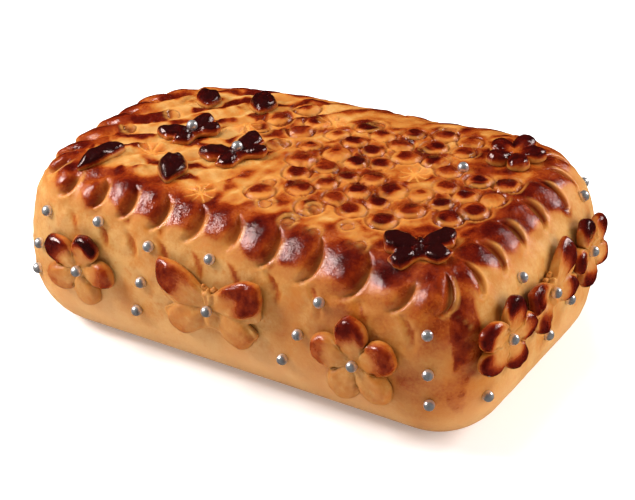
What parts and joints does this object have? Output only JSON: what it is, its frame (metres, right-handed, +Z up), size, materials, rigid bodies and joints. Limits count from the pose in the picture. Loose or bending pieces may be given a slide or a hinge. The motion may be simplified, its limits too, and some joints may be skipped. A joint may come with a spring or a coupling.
{
  "type": "marzipan loaf",
  "caption": "Oven-browned marzipan loaf with a crimped top edge, ring-stamped top, cut-out flowers, butterflies and leaves, and silver sugar pearls.",
  "frame": {"origin": "middle of the flat underside, where the loaf rests", "axes": "+X along the length to the wider end, +Y across the width to the back, +Z up; the long front side faces -Y"},
  "size_m": [0.2126, 0.1497, 0.0756],
  "materials": {
    "baked_marzipan": "egg-washed golden marzipan, glossy red-brown where it is browned, with silver sugar pearls",
    "browned_marzipan": "glossy egg wash, browned on the upper parts, with a silver sugar pearl",
    "burnt_marzipan": "glossy egg wash, nearly black on top and golden at the foot"
  },
  "bodies": {
    "root": {"loaf": "baked_marzipan", "flower_front_left": "browned_marzipan", "butterfly_front": "browned_marzipan", "flower_front_right": "browned_marzipan", "flower_end_near": "browned_marzipan", "butterfly_end": "browned_marzipan", "flower_end_far": "browned_marzipan", "flower_back_left": "browned_marzipan", "butterfly_back": "browned_marzipan", "flower_back_right": "browned_marzipan", "flower_left_far": "browned_marzipan", "butterfly_left": "browned_marzipan", "flower_left_near": "browned_marzipan", "butterfly_top_left": "burnt_marzipan", "butterfly_top_mid": "burnt_marzipan", "butterfly_top_right": "burnt_marzipan", "flower_top": "burnt_marzipan", "leaf_corner": "burnt_marzipan", "leaf_back_left": "burnt_marzipan", "leaf_back": "burnt_marzipan", "leaf_front": "burnt_marzipan"}
  },
  "joints": []
}
